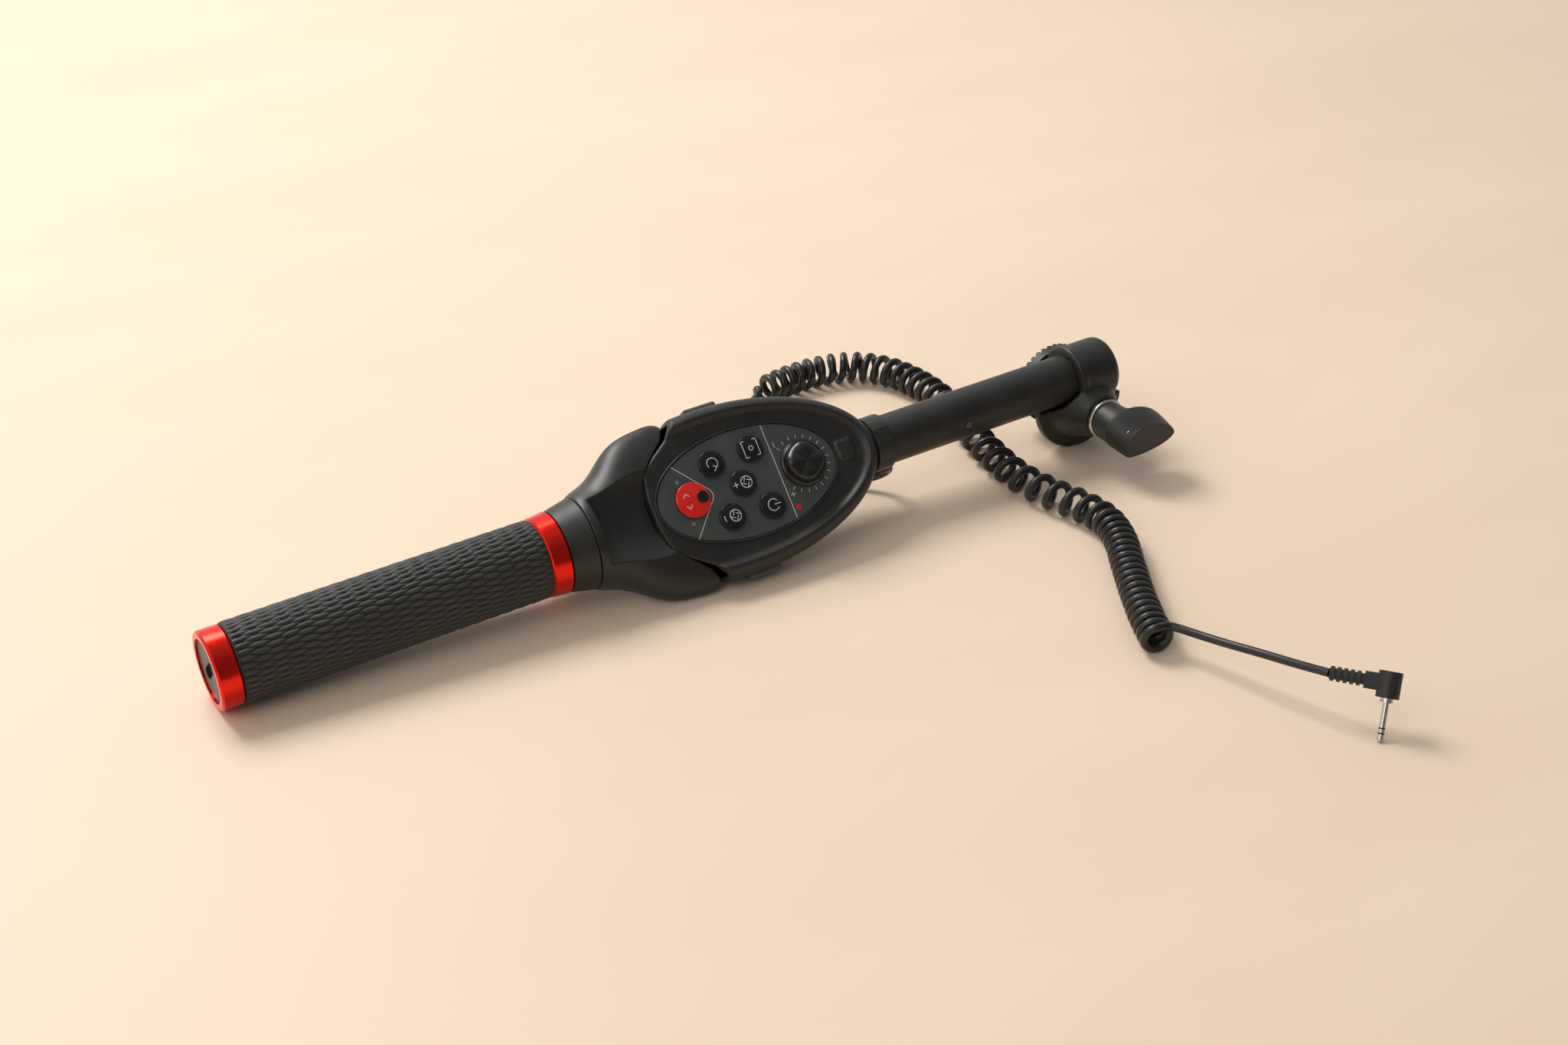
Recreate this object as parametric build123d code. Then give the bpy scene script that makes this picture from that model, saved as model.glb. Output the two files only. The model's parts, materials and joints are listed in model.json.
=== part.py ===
from build123d import *
from math import asin, cos, degrees, pi, radians, sin, sqrt, tan
import os

# A pan-bar hand controller for a camcorder, lying on a table with its cord let go beside it.
#
# Millimetres. The handle, the head and the bar are modelled in the bar frame: X runs along the
# bar from the grip's end face, Z is the normal of the button panel and Y is across the panel.
# The clamp is modelled in the same frame before it is turned. At the end the handle is rolled
# about the bar, both are pitched so that the grip and the clamp stand on the table, and the
# whole is moved until its box is centred on the origin with its lowest point at Z = 0.

# ---- how it lies -------------------------------------------------------------------------
roll = 46.7  # panel turned towards the near side, degrees
running = 0.05  # radial clearance of a shaft that turns, and of a tube in its seat
seat = 0.05  # gap between two faces that are pressed together
slack = 0.3  # gap between moving pieces that aren't a fit

# ---- grip --------------------------------------------------------------------------------
ring_radius = 16.5
rear_ring_length = 9.6
ring_chamfer = 0.9
sleeve_end = 140.4
sleeve_radius = 16.5
core_radius = 14.0
core_wall = 2.0
front_ring_end = 149.2
front_ring_radius = 17.8
end_cap_radius = 13.4
end_cap_recess = 0.9

# ---- hub, spindle and rocker ---------------------------------------------------------------
hub_end = 160.0
hub_radius = 19.8
spigot_radius = 12.0
spigot_end = 166.0
spindle_radius = 6.5
spindle_bore = 3.0
spindle_start = 128.0
spindle_end = 199.5
nut_across = 17.0
nut_length = 6.0
rocker_cavity_radius = 10.4
rocker_cavity_end = 182.0
rocker_stations = (  # x, half width, height of the centre, half height
    (160.6, 20.0, 0.0, 19.6),
    (168.0, 23.0, 0.3, 18.6),
    (176.0, 27.8, 1.6, 16.2),
    (187.0, 35.2, 3.4, 13.2),
    (196.0, 37.2, 4.2, 11.0),
    (204.0, 37.8, 4.6, 9.4),
    (210.0, 35.6, 4.6, 8.0),
)
dish_radius = 55.0
dish_floor = 12.6
dish_start = 164.5
nose_x = 189.4  # the rocker's front on the axis, where the gap to the head begins
gap_curve = ((0.0, 0.0), (0.0, 13.5), (2.4, 21.7), (8.6, 25.5), (17.0, 30.6), (22.6, 37.5), (26.0, 46.0))
gap_width = 0.7

# ---- head --------------------------------------------------------------------------------
head_x = 225.0
head_half_length = 74.0
head_half_width = 37.0
belly_top = 8.0
belly_depth = 22.0
split_z = 2.0
head_wall = 2.5
rim_top = 15.6
rim_fillet = 6.4
rim_inset = 4.4
bezel_inset = 7.4
bezel_z = 13.2
panel_thickness = 1.2
plate_x = 235.0
plate_half_length = 42.2
plate_half_width = 23.0
plate_top = 13.5
plate_thickness = 1.0
plate_gap = 0.2
cavity_start = 200.0
cavity_end = 271.5
keel_radius = 13.0
keel_start = 258.0
keel_end = 296.0
screw_spots = ((212.0, 26.0), (276.0, 17.0))
screw_radius = 1.4
screw_head_radius = 2.6
screw_head_length = 2.0
screw_boss_radius = 3.2
nub_start, nub_end, nub_half_width, nub_height = 279.5, 287.0, 4.0, 1.1

# ---- controls on the panel -----------------------------------------------------------------
button_spots = {  # node: (x, y, cap radius)
    "return_button": (222.2, 12.0, 5.3),
    "iris_close_button": (222.2, -12.0, 5.3),
    "iris_open_button": (232.5, 0.0, 5.3),
    "focus_button": (241.3, 13.0, 5.3),
    "power_button": (241.3, -13.0, 5.3),
    "record_button": (208.4, 0.0, 7.1),
}
button_gap = 0.4
button_top = 14.9
button_crown = 0.7
button_flange = 0.8
flange_thickness = 0.6
stem_radius = 1.2
lamp_spots = ((205.0, 9.4), (205.0, -9.4))
lamp_radius = 0.9
dial_x = 261.8
dial_skirt_radius = 10.1
dial_radius = 9.1
dial_skirt_height = 1.2
dial_height = 6.3
dial_lobes = 4
dial_shaft_radius = 3.0
side_button_x = 229.4
side_button_length = 15.0
side_button_height = 5.0
side_button_z = 5.6
side_button_proud = 2.4
side_flange = 0.8
side_flange_face = 31.6
side_switch_face = 30.4
side_switch_depth = 3.4
side_well = 1.6

# ---- electronics -----------------------------------------------------------------------------
board_bottom = 6.95
board_thickness = 1.1
board_half_length = 40.0
board_half_width = 20.0
board_x = 236.5
switch_side = 4.6
switch_height = 1.5
switch_floor = 0.2
pot_side = 11.0
pot_height = 2.8

# ---- bar, sleeve and gland --------------------------------------------------------------------
bar_radius = 11.0
bar_wall = 1.8
bar_start = 272.0
bar_end = 406.8
sleeve_outer = 12.4
sleeve_flat = 11.8  # height of the flat along its top
neck_sleeve_start = head_x + head_half_length + 0.25
neck_sleeve_end = 307.5
neck_sleeve_cut = -4.0
set_screw_x = 347.0
set_screw_radius = 1.3
gland_end = 304.85
gland_drop = 14.6  # the gland's axis below the bar's axis
gland_radius = 2.8

# ---- clamp ------------------------------------------------------------------------------------
flange_start = 407.2
flange_end = 410.0
flange_radius = 15.0
barrel_radius = 14.3
barrel_end = 423.0
end_cap_length = 6.3
pivot_radius = 7.0
pivot_end = 420.0
washer_radius = 9.6
washer_thickness = 1.2
bar_clearance = 1.6
stud_x = 413.9
stud_drop = 12.65
jaw_radius = 23.0
jaw_near, jaw_far = -4.0, 1.0
boss_near = -20.4
boss_radii = (18.0, 9.5)  # at the jaw and at the knob
rosette_radius = 18.8
rosette_near = 15.2
rosette_thickness = 5.0
rosette_neck_radius = 15.5
rosette_teeth = 36
tooth_depth = 1.6
tooth_length = 6.5
stud_radius = 3.0
stud_free = 10.0
shank_radius = 2.8  # of the stud inside the clamp and the knob
knob_ring_radius = 9.3
knob_ring_length = 2.7
knob_radius = 8.9
knob_waist = -34.0
knob_near = -46.0
lever_back = ((-5.6, -7.8), (4.5, -9.1), (14, -7.8), (20.6, -5.2), (23, -1.8), (18, 3.4), (11.5, 7.4), (5, 9.4),
              (-3, 9.1), (-8.0, 5.0), (-9.2, -1.6))
lever_front = ((-4.6, -7.5), (4, -7.7), (12, -7.2), (18.4, -5.0), (21.5, -2.1), (16.8, 2.6), (9.6, 5.0), (3.4, 5.3),
               (-1.6, 3.4), (-4.4, -0.3), (-5.8, -4.4))
insert_radius = 5.0

# ---- cord and plug -------------------------------------------------------------------------------
cord_radius = 1.6
coil_radius = 6.85
straight_out = 8.5  # the cord's first run, in line with the gland
lead_route = ((95.7, 14.5, 8.8), (88.2, 21.0, 4.4), (75.7, 31.0, 2.6), (62.7, 46.0, 1.9),
              (56.7, 65.0, 1.9), (59.2, 85.0, 2.2), (68.7, 101.0, 3.6))
coil_route = ((84.7, 110.0, 7.0), (99.7, 115.0, 7.0), (116.7, 117.0, 7.0), (132.2, 115.5, 7.0),
              (144.2, 109.5, 7.0), (152.2, 99.0, 7.0), (156.5, 86.0, 7.0), (158.5, 71.5, 7.0),
              (157.7, 55.5, 7.0), (154.2, 36.5, 7.0), (150.0, 17.5, 7.0), (147.7, -0.5, 7.0),
              (147.0, -15.5, 7.0), (149.2, -28.5, 7.0), (152.7, -40.5, 7.0), (157.0, -52.5, 7.0),
              (158.9, -66.5, 7.0), (154.2, -82.0, 7.0), (143.7, -100.5, 7.0), (132.7, -121.5, 7.0),
              (124.2, -139.5, 7.0), (120.2, -150.5, 7.0))
tail_route = ((125.7, -149.0, 12.0), (130.2, -160.0, 12.6), (134.7, -173.5, 14.2), (140.2, -189.0, 16.6),
              (145.5, -203.5, 18.2))
elbow = (165.7, -231.5)
boot_yaw = -48.6
jack_tilt = 32.3
elbow_drop = 22.4  # from the elbow's centre to the tip, along the jack
boot_start, boot_end = 22.6, 9.4
boot_radius = 2.9
boot_ribs = 5
body_width = 6.6
barrel_start, barrel_stop = -4.6, 5.6
plug_barrel_radius = 4.5
collar_stop = 7.4
collar_radius = 2.6
shaft_radius = 1.25

nodes = {}


def keep(name, group, shape):
    """Record a finished piece under its node's name, with the group that it is placed with."""
    nodes[name] = (group, shape)


def rod(start, end, radius, y=0.0, z=0.0):
    """A round bar along X."""
    return Pos(start, y, z) * Rot(0, 90, 0) * Cylinder(radius, end - start, align=(Align.CENTER, Align.CENTER, Align.MIN))


def pin_across(x, z, start, end, radius):
    """A round bar along Y."""
    return Pos(x, start, z) * Rot(-90, 0, 0) * Cylinder(radius, end - start, align=(Align.CENTER, Align.CENTER, Align.MIN))


def post(x, y, start, end, radius):
    """A round bar along Z."""
    return Pos(x, y, start) * Cylinder(radius, end - start, align=(Align.CENTER, Align.CENTER, Align.MIN))


def block(x0, x1, y0, y1, z0, z1):
    return Pos((x0 + x1) / 2, (y0 + y1) / 2, (z0 + z1) / 2) * Box(x1 - x0, y1 - y0, z1 - z0)


def turned(*points):
    """Turn a profile of (x, radius) points about the bar's axis."""
    return revolve(make_face(Polyline(*[(x, r, 0) for x, r in points], close=True)), Axis.X, 360)


def bevelled_ring(start, end, outer, inner, chamfer):
    return turned((start, inner), (start, outer - chamfer), (start + chamfer, outer),
                  (end - chamfer, outer), (end, outer - chamfer), (end, inner))


def downwards(radius):
    """The point (y, z) of the rolled handle that lies straight below the bar's axis."""
    return -radius * sin(radians(roll)), -radius * cos(radians(roll))


# ---- grip -------------------------------------------------------------------------------------
core_bore = core_radius - core_wall
keep("rear_ring", "handle",
     bevelled_ring(0, rear_ring_length, ring_radius, core_radius + seat, ring_chamfer)
     + turned((0, end_cap_radius + seat), (0, core_radius + 1), (1.6, core_radius + 1), (1.6, end_cap_radius + seat)))
keep("grip_core", "handle",
     rod(1.8, hub_end - 6, core_radius) - rod(1.8, hub_end - 6, core_bore))
cap = rod(end_cap_recess, 1.7, end_cap_radius) + rod(1.7, 9.0, core_bore - seat)
cap -= Pos(end_cap_recess, 0, 0) * Rot(0, 90, 0) * extrude(SlotOverall(15, 5), amount=1.6)
keep("end_cap", "handle", cap)
keep("grip_sleeve", "handle",
     rod(rear_ring_length + seat, sleeve_end - seat, sleeve_radius)
     - rod(rear_ring_length, sleeve_end, core_radius + seat))
keep("front_ring", "handle",
     turned((sleeve_end, core_radius + seat), (sleeve_end, ring_radius - 0.4), (sleeve_end + ring_chamfer, ring_radius + 0.5),
            (front_ring_end - ring_chamfer, front_ring_radius), (front_ring_end, front_ring_radius - ring_chamfer),
            (front_ring_end, core_radius + seat)))

# ---- hub and spindle ------------------------------------------------------------------------------
hub = turned((front_ring_end + seat, core_radius + seat), (front_ring_end + seat, front_ring_radius - 0.3),
             (hub_end, hub_radius), (hub_end, spigot_radius), (spigot_end, spigot_radius), (spigot_end, 0),
             (hub_end - 22, 0), (hub_end - 22, core_bore - seat), (hub_end - 6 + seat, core_bore - seat),
             (hub_end - 6 + seat, core_radius + seat))
keep("neck_hub", "handle", hub - rod(hub_end - 23, spigot_end + 1, spindle_radius + seat))
keep("spindle", "handle",
     rod(spindle_start, spindle_end, spindle_radius) - rod(spindle_start, spindle_end, spindle_bore))
nut = Pos(hub_end - 22 - seat - nut_length, 0, 0) * Rot(0, 90, 0) * extrude(
    RegularPolygon(nut_across / 2, 6, major_radius=False), amount=nut_length)
keep("spindle_nut", "handle", nut - rod(spindle_start, hub_end, spindle_radius + seat))

# ---- zoom rocker -----------------------------------------------------------------------------------
wings = loft([Plane(origin=(x, 0, z), x_dir=(0, 1, 0), z_dir=(1, 0, 0)) * Ellipse(half_width, half_height)
              for x, half_width, z, half_height in rocker_stations])
barrel = turned((hub_end + 0.6, 0), (hub_end + 0.6, hub_radius), (nose_x, spigot_radius + 3.4), (nose_x, 0))
in_front_of_gap = turned(*[(nose_x + x, r) for x, r in gap_curve], (260, 46), (260, 0))
dish = Pos(dish_start, 0, dish_floor + dish_radius) * Rot(0, 90, 0) * Cylinder(
    dish_radius, 60, align=(Align.CENTER, Align.CENTER, Align.MIN))
rocker = (wings + barrel) - in_front_of_gap - dish
rocker -= rod(hub_end, spigot_end + 0.5, spigot_radius + running)
rocker -= rod(spigot_end, rocker_cavity_end, rocker_cavity_radius)
rocker -= rod(rocker_cavity_end - 1, nose_x + 1, spindle_radius + running)
keep("zoom_rocker", "handle", rocker)

spring_pitch = 2.2
spring_turns = 3
spring_path = Helix(spring_pitch, spring_pitch * spring_turns, 8.6, center=(0, 0, 0), direction=(0, 0, 1))
spring_wire = sweep(Plane(origin=spring_path @ 0, z_dir=spring_path % 0) * Circle(0.6), path=spring_path, is_frenet=True)
keep("rocker_spring", "handle", Pos(spigot_end + 1.1, 0, 0) * Rot(0, 90, 0) * spring_wire)
keep("rocker_sensor", "handle",
     rod(rocker_cavity_end - 4.5, rocker_cavity_end - 0.5, 9.4)
     - rod(rocker_cavity_end - 5, rocker_cavity_end, spindle_radius + seat))

# ---- head casing --------------------------------------------------------------------------------------
def egg(inset):
    return Pos(head_x, 0) * Ellipse(head_half_length - inset, head_half_width - inset)


def bowl(inset):
    """The lower half of the head's ellipsoid, shrunk by a wall."""
    whole = scale(Sphere(1), by=(head_half_length - inset, head_half_width - inset, belly_depth - inset))
    return Pos(head_x, 0, belly_top) * (whole & block(-100, 100, -60, 60, -40, 0))


lid = fillet(extrude(Pos(0, 0, belly_top) * egg(0), amount=rim_top - belly_top).edges().group_by(Axis.Z)[-1], rim_fillet)
lid -= loft([Pos(0, 0, bezel_z) * egg(bezel_inset), Pos(0, 0, rim_top + 0.1) * egg(rim_inset)])
plate_bottom = plate_top - plate_thickness
panel_bottom = plate_bottom - panel_thickness
behind_gap = turned((150, 0), *[(nose_x + gap_width + x, r) for x, r in gap_curve], (150, 46))
solid_head = (bowl(0) + lid + rod(keel_start, keel_end, keel_radius)) - behind_gap
cavity = (bowl(head_wall) + extrude(Pos(0, 0, belly_top) * egg(head_wall), amount=panel_bottom - belly_top)) & block(
    cavity_start, cavity_end, -40, 40, -20, 20)
solid_head -= rod(nose_x, cavity_start + 1, spindle_radius + seat)
solid_head -= rod(bar_start - 1, neck_sleeve_start, bar_radius + seat)

upper = (solid_head - cavity) & block(150, 310, -50, 50, split_z, 40)
upper -= Pos(plate_x, 0, plate_bottom) * extrude(
    Ellipse(plate_half_length + plate_gap, plate_half_width + plate_gap), amount=5)
lower = (solid_head - cavity) & block(150, 310, -50, 50, -40, split_z)
nub = block(nub_start, nub_end, -nub_half_width, nub_half_width, bezel_z - 0.5, bezel_z + nub_height)
upper += fillet(nub.edges().group_by(Axis.Z)[-1], 0.5)

screws = []
for x, spread in screw_spots:
    for y in (spread, -spread):
        skin = belly_top - belly_depth * sqrt(1 - ((x - head_x) / head_half_length) ** 2 - (y / head_half_width) ** 2)
        boss = post(x, y, skin + 1.2, panel_bottom, screw_boss_radius)
        upper += boss & block(150, 310, -50, 50, split_z, 40)
        lower += boss & block(150, 310, -50, 50, -40, split_z)
        seat_z = skin + 1.4
        lower -= post(x, y, -20, seat_z + screw_head_length, screw_head_radius + seat)
        lower -= post(x, y, -20, 20, screw_radius + 0.15)
        upper -= post(x, y, -20, panel_bottom - 1.0, screw_radius + seat)
        screws.append(post(x, y, seat_z, seat_z + screw_head_length, screw_head_radius)
                      + post(x, y, seat_z, panel_bottom - 1.6, screw_radius))
keep("head_screws", "handle", Compound(children=screws))

# ---- openings of the controls ------------------------------------------------------------------------
plate = Pos(plate_x, 0, plate_bottom) * extrude(Ellipse(plate_half_length, plate_half_width), amount=plate_thickness)
for x, y, radius in button_spots.values():
    hole = post(x, y, 5, 20, radius + button_gap)
    plate -= hole
    upper -= hole
for x, y in lamp_spots:
    hole = post(x, y, 5, 20, lamp_radius + seat)
    plate -= hole
    upper -= hole
dial_hole = post(dial_x, 0, 5, 20, dial_shaft_radius + slack)
plate -= dial_hole
upper -= dial_hole
keep("label_plate", "handle", plate)

window_gap = slack
for side in (1, -1):
    upper -= block(side_button_x - side_button_length / 2 - window_gap, side_button_x + side_button_length / 2 + window_gap,
                   min(side * 28, side * 45), max(side * 28, side * 45),
                   side_button_z - side_button_height / 2 - window_gap, side_button_z + side_button_height / 2 + window_gap)
keep("head_upper_shell", "handle", upper)

# A screw from the belly holds the spindle in the head.
anchor_x = 194.5
lower -= post(anchor_x, 0, -20, 0, screw_head_radius + seat) & block(180, 200, -10, 10, -20, -10)
lower -= post(anchor_x, 0, -20, 0, screw_radius + 0.15)
keep("head_lower_shell", "handle", lower)
keep("spindle_screw", "handle",
     post(anchor_x, 0, -12.0, -10.0 - seat, screw_head_radius) + post(anchor_x, 0, -12.0, -spindle_radius - seat, screw_radius))

# ---- circuit board and switches ------------------------------------------------------------------------
board_top = board_bottom + board_thickness
board = Pos(board_x, 0, board_bottom) * extrude(Ellipse(board_half_length, board_half_width), amount=board_thickness)
board &= block(cavity_start + slack, cavity_end - slack, -40, 40, 0, 20)
board += block(side_button_x - 4, side_button_x + 4, -side_switch_face, side_switch_face,
               board_bottom, board_top)
keep("circuit_board", "handle", board)

switches = []
for x, y, radius in button_spots.values():
    body = block(x - switch_side / 2, x + switch_side / 2, y - switch_side / 2, y + switch_side / 2,
                 board_top, board_top + switch_height)
    switches.append(body - post(x, y, board_top + switch_floor, 20, stem_radius + 0.1))
keep("tact_switches", "handle", Compound(children=switches))

side_switches = []
for side in (1, -1):
    body = block(side_button_x - 2.5, side_button_x + 2.5, min(side * side_switch_face, side * (side_switch_face - side_switch_depth)),
                 max(side * side_switch_face, side * (side_switch_face - side_switch_depth)), board_bottom - 3.2, board_bottom)
    well = pin_across(side_button_x, board_bottom - 1.6, min(side * 32, side * (side_switch_face - side_well)),
                      max(side * 32, side * (side_switch_face - side_well)), stem_radius)
    side_switches.append(body - well)
keep("side_switches", "handle", Compound(children=side_switches))

keep("status_lamps", "handle",
     Compound(children=[post(x, y, board_top, plate_top - 0.1, lamp_radius) for x, y in lamp_spots]))
pot = block(dial_x - pot_side / 2, dial_x + pot_side / 2 - 0.6, -pot_side / 2, pot_side / 2, board_top, board_top + pot_height)
keep("dial_potentiometer", "handle", pot - post(dial_x, 0, board_top + 0.5, 20, dial_shaft_radius + running))

# ---- buttons ----------------------------------------------------------------------------------------------
flange_top = panel_bottom - 0.1
for name, (x, y, radius) in button_spots.items():
    cap = post(x, y, flange_top - flange_thickness, button_top, radius)
    cap = fillet(cap.edges().group_by(Axis.Z)[-1], button_crown)
    cap += post(x, y, flange_top - flange_thickness, flange_top, radius + button_flange)
    cap += post(x, y, board_top + switch_height - 0.4, flange_top, stem_radius)
    keep(name, "handle", cap)

for name, side in (("far_side_button", 1), ("near_side_button", -1)):
    outer = head_half_width - 0.6 + side_button_proud
    inner = side_flange_face
    pad = block(side_button_x - side_button_length / 2, side_button_x + side_button_length / 2, inner, outer,
                side_button_z - side_button_height / 2, side_button_z + side_button_height / 2)
    pad = fillet(pad.edges().group_by(Axis.Y)[-1], 1.2)
    pad += block(side_button_x - side_button_length / 2 + 0.2 - side_flange, side_button_x + side_button_length / 2 + side_flange - 0.2,
                 inner, inner + side_flange, side_button_z - side_button_height / 2, side_button_z + side_button_height / 2)
    stem = pin_across(side_button_x, board_bottom - 1.6, side_switch_face - 0.4, inner + 0.2, stem_radius - 0.1)
    button = pad + stem
    keep(name, "handle", button if side > 0 else mirror(button, about=Plane.XZ))

# ---- speed dial -------------------------------------------------------------------------------------------------
dial_bottom = plate_top + slack
dial = post(dial_x, 0, dial_bottom, dial_bottom + dial_skirt_height, dial_skirt_radius)
crown = post(dial_x, 0, dial_bottom + dial_skirt_height, dial_bottom + dial_height, dial_radius)
for i in range(dial_lobes):
    turn = 2 * pi * (i + 0.5) / dial_lobes
    crown -= post(dial_x + (dial_radius + 3.2) * cos(turn), (dial_radius + 3.2) * sin(turn),
                  dial_bottom + dial_skirt_height, dial_bottom + dial_height, 4.6)
crown = fillet(crown.edges().group_by(Axis.Z)[-1], 1.2)
dial_shaft_hole = post(dial_x, 0, dial_bottom, dial_bottom + 4.4, dial_shaft_radius)
keep("speed_dial", "handle", (dial + crown) - dial_shaft_hole)
keep("dial_shaft", "handle", post(dial_x, 0, board_top + 0.8, dial_bottom + 4.4 - seat, dial_shaft_radius - seat))

# ---- bar and what is on it --------------------------------------------------------------------------------------
bar = rod(bar_start, bar_end, bar_radius) - rod(bar_start, bar_end, bar_radius - bar_wall)
screw_turn = Rot(90 - roll, 0, 0)
bar -= screw_turn * post(set_screw_x, 0, bar_radius - bar_wall - 1, bar_radius + 1, set_screw_radius + seat)
keep("pan_bar", "handle", bar)
set_screw = post(set_screw_x, 0, bar_radius - bar_wall, bar_radius - 0.2, set_screw_radius)
set_screw -= Pos(set_screw_x, 0, bar_radius - 1.0) * extrude(RegularPolygon(0.5 * set_screw_radius, 6), amount=1)
keep("bar_set_screw", "handle", screw_turn * set_screw)
half_sleeve = rod(neck_sleeve_start, neck_sleeve_end, sleeve_outer)
half_sleeve -= rod(neck_sleeve_start - 1, neck_sleeve_end + 1, bar_radius + seat)
half_sleeve &= block(neck_sleeve_start - 1, neck_sleeve_end + 1, -sleeve_outer, sleeve_outer, neck_sleeve_cut, sleeve_flat)
keep("neck_sleeve", "handle", half_sleeve)
gland_y, gland_z = downwards(gland_drop)
gland_start = keel_end + seat
gland = rod(gland_start, gland_end, gland_radius, gland_y, gland_z) - rod(gland_start - 1, gland_end + 1, bar_radius + seat)
keep("cord_gland", "handle", gland)

# ---- swivel at the bar's end -----------------------------------------------------------------------------------------
bar_bore = bar_radius - bar_wall
pivot = rod(bar_end - 16, bar_end - 0.2, bar_bore - seat) + rod(bar_end - 16, pivot_end, pivot_radius)
pivot -= rod(pivot_end - 9, pivot_end + 1, 1.5)
keep("swivel_pivot", "handle", pivot)
washer_start = pivot_end + 0.05
keep("swivel_washer", "handle",
     rod(washer_start, washer_start + washer_thickness, washer_radius) - rod(washer_start - 1, washer_start + 3, 1.65))
keep("swivel_screw", "handle",
     rod(washer_start + washer_thickness + seat, washer_start + washer_thickness + 1.4, 2.7)
     + rod(pivot_end - 8, washer_start + washer_thickness + 1.4, 1.45))

# ---- clamp ----------------------------------------------------------------------------------------------------------------
stud_z = -stud_drop
clamp = rod(flange_start, flange_end, flange_radius) + rod(flange_end, barrel_end, barrel_radius)
clamp += pin_across(stud_x, stud_z, jaw_near, jaw_far, jaw_radius)
clamp += loft([Pos(stud_x, y, stud_z) * Rot(90, 0, 0) * Circle(radius)
               for y, radius in zip((jaw_near, boss_near), boss_radii)])
clamp += pin_across(stud_x, stud_z, jaw_far, rosette_near - seat, rosette_neck_radius)
clamp -= rod(flange_start - 30, flange_start, bar_radius + bar_clearance)
clamp -= rod(barrel_end, barrel_end + 30, barrel_radius + seat)
clamp -= rod(flange_start - 1, pivot_end, pivot_radius + running)
clamp -= rod(pivot_end - 0.3, barrel_end + 1, washer_radius + slack)
clamp -= pin_across(stud_x, stud_z, boss_near - 1, rosette_near + 1, stud_radius + 0.2)
keep("clamp_body", "clamp", clamp)
cap_end = barrel_end + end_cap_length
clamp_cap = fillet(rod(barrel_end + seat, cap_end, barrel_radius).edges().group_by(Axis.X)[-1], 4.0)
keep("clamp_end_cap", "clamp", clamp_cap + rod(barrel_end - 1.2, barrel_end + seat, washer_radius + slack - seat)
     - rod(barrel_end - 2, barrel_end + 1.0, 3.4))

rosette_far = rosette_near + rosette_thickness
rosette = pin_across(stud_x, stud_z, rosette_near, rosette_far, rosette_radius)
groove = Plane.YZ * make_face(Polyline((0.95, 0.1), (0, -tooth_depth), (-0.95, 0.1), close=True))
groove = Pos(rosette_radius - tooth_length, 0, 0) * extrude(groove, amount=tooth_length + 1)
rosette -= [Pos(stud_x, rosette_far, stud_z) * Rot(-90, 0, 0) * Rot(0, 0, 360 * i / rosette_teeth) * groove
            for i in range(rosette_teeth)]
rosette -= pin_across(stud_x, stud_z, rosette_near - 1, rosette_far + 1, stud_radius + 0.2)
keep("rosette", "clamp", rosette)
keep("clamp_stud", "clamp",
     pin_across(stud_x, stud_z, knob_near + 6, rosette_far, shank_radius)
     + pin_across(stud_x, stud_z, rosette_far, rosette_far + stud_free, stud_radius))

# ---- lever knob -----------------------------------------------------------------------------------------------------------------
ring_near = boss_near - knob_ring_length
ring = pin_across(stud_x, stud_z, ring_near, boss_near - seat, knob_ring_radius)
keep("knob_ring", "clamp", ring - pin_across(stud_x, stud_z, ring_near - 1, boss_near, stud_radius + 0.2))
lever = loft([Pos(stud_x, y, stud_z) * Rot(90, 0, 0) * make_face(Spline(*outline, periodic=True))
              for y, outline in ((knob_waist, lever_back), (knob_near, lever_front))])
lever = chamfer(lever.edges().group_by(Axis.Y)[0], 0.6)
knob = pin_across(stud_x, stud_z, knob_waist, ring_near - seat, knob_radius) + lever
knob -= pin_across(stud_x, stud_z, knob_near + 3, ring_near + 1, insert_radius + seat)
keep("knob_lever", "clamp", knob)
keep("knob_insert", "clamp",
     pin_across(stud_x, stud_z, knob_near + 3 + seat, ring_near - seat, insert_radius)
     - pin_across(stud_x, stud_z, knob_near + 5, ring_near + 1, shank_radius + running))


# ---- place the handle and the clamp on the table -------------------------------------------------------------------------------------
pitch = degrees(asin((jaw_radius + stud_drop - ring_radius) / stud_x))
placing = {"handle": Rot(0, -pitch, 0) * Rot(roll, 0, 0), "clamp": Rot(0, -pitch, 0)}
placed = {name: placing[group] * shape for name, (group, shape) in nodes.items()}
boxes = [shape.bounding_box() for shape in placed.values()]
low = [min(getattr(box.min, axis) for box in boxes) for axis in "XYZ"]
high = [max(getattr(box.max, axis) for box in boxes) for axis in "XYZ"]
to_table = Pos(-(low[0] + high[0]) / 2, -(low[1] + high[1]) / 2, -low[2])
placed = {name: to_table * shape for name, shape in placed.items()}


# ---- cord -------------------------------------------------------------------------------------------------------------------------------
def bent_tube(name, points, radius):
    """A tube along straight runs joined by the largest tangent arcs that the runs allow."""
    points = [Vector(point) for point in points]
    runs = [b - a for a, b in zip(points, points[1:])]
    radii = []
    for before, after in zip(runs, runs[1:]):
        turn = radians(before.get_angle(after))
        radii.append(0.45 * min(before.length, after.length) / tan(turn / 2))
    path = FilletPolyline(*points, radius=radii)
    tube = sweep(Plane(origin=path @ 0, z_dir=path % 0) * Circle(radius), path=path)
    print(name, "length", round(path.length, 1), "radii", [round(r, 1) for r in radii],
          "volume share", round(tube.volume / (pi * radius ** 2 * path.length), 4))
    return tube


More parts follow.
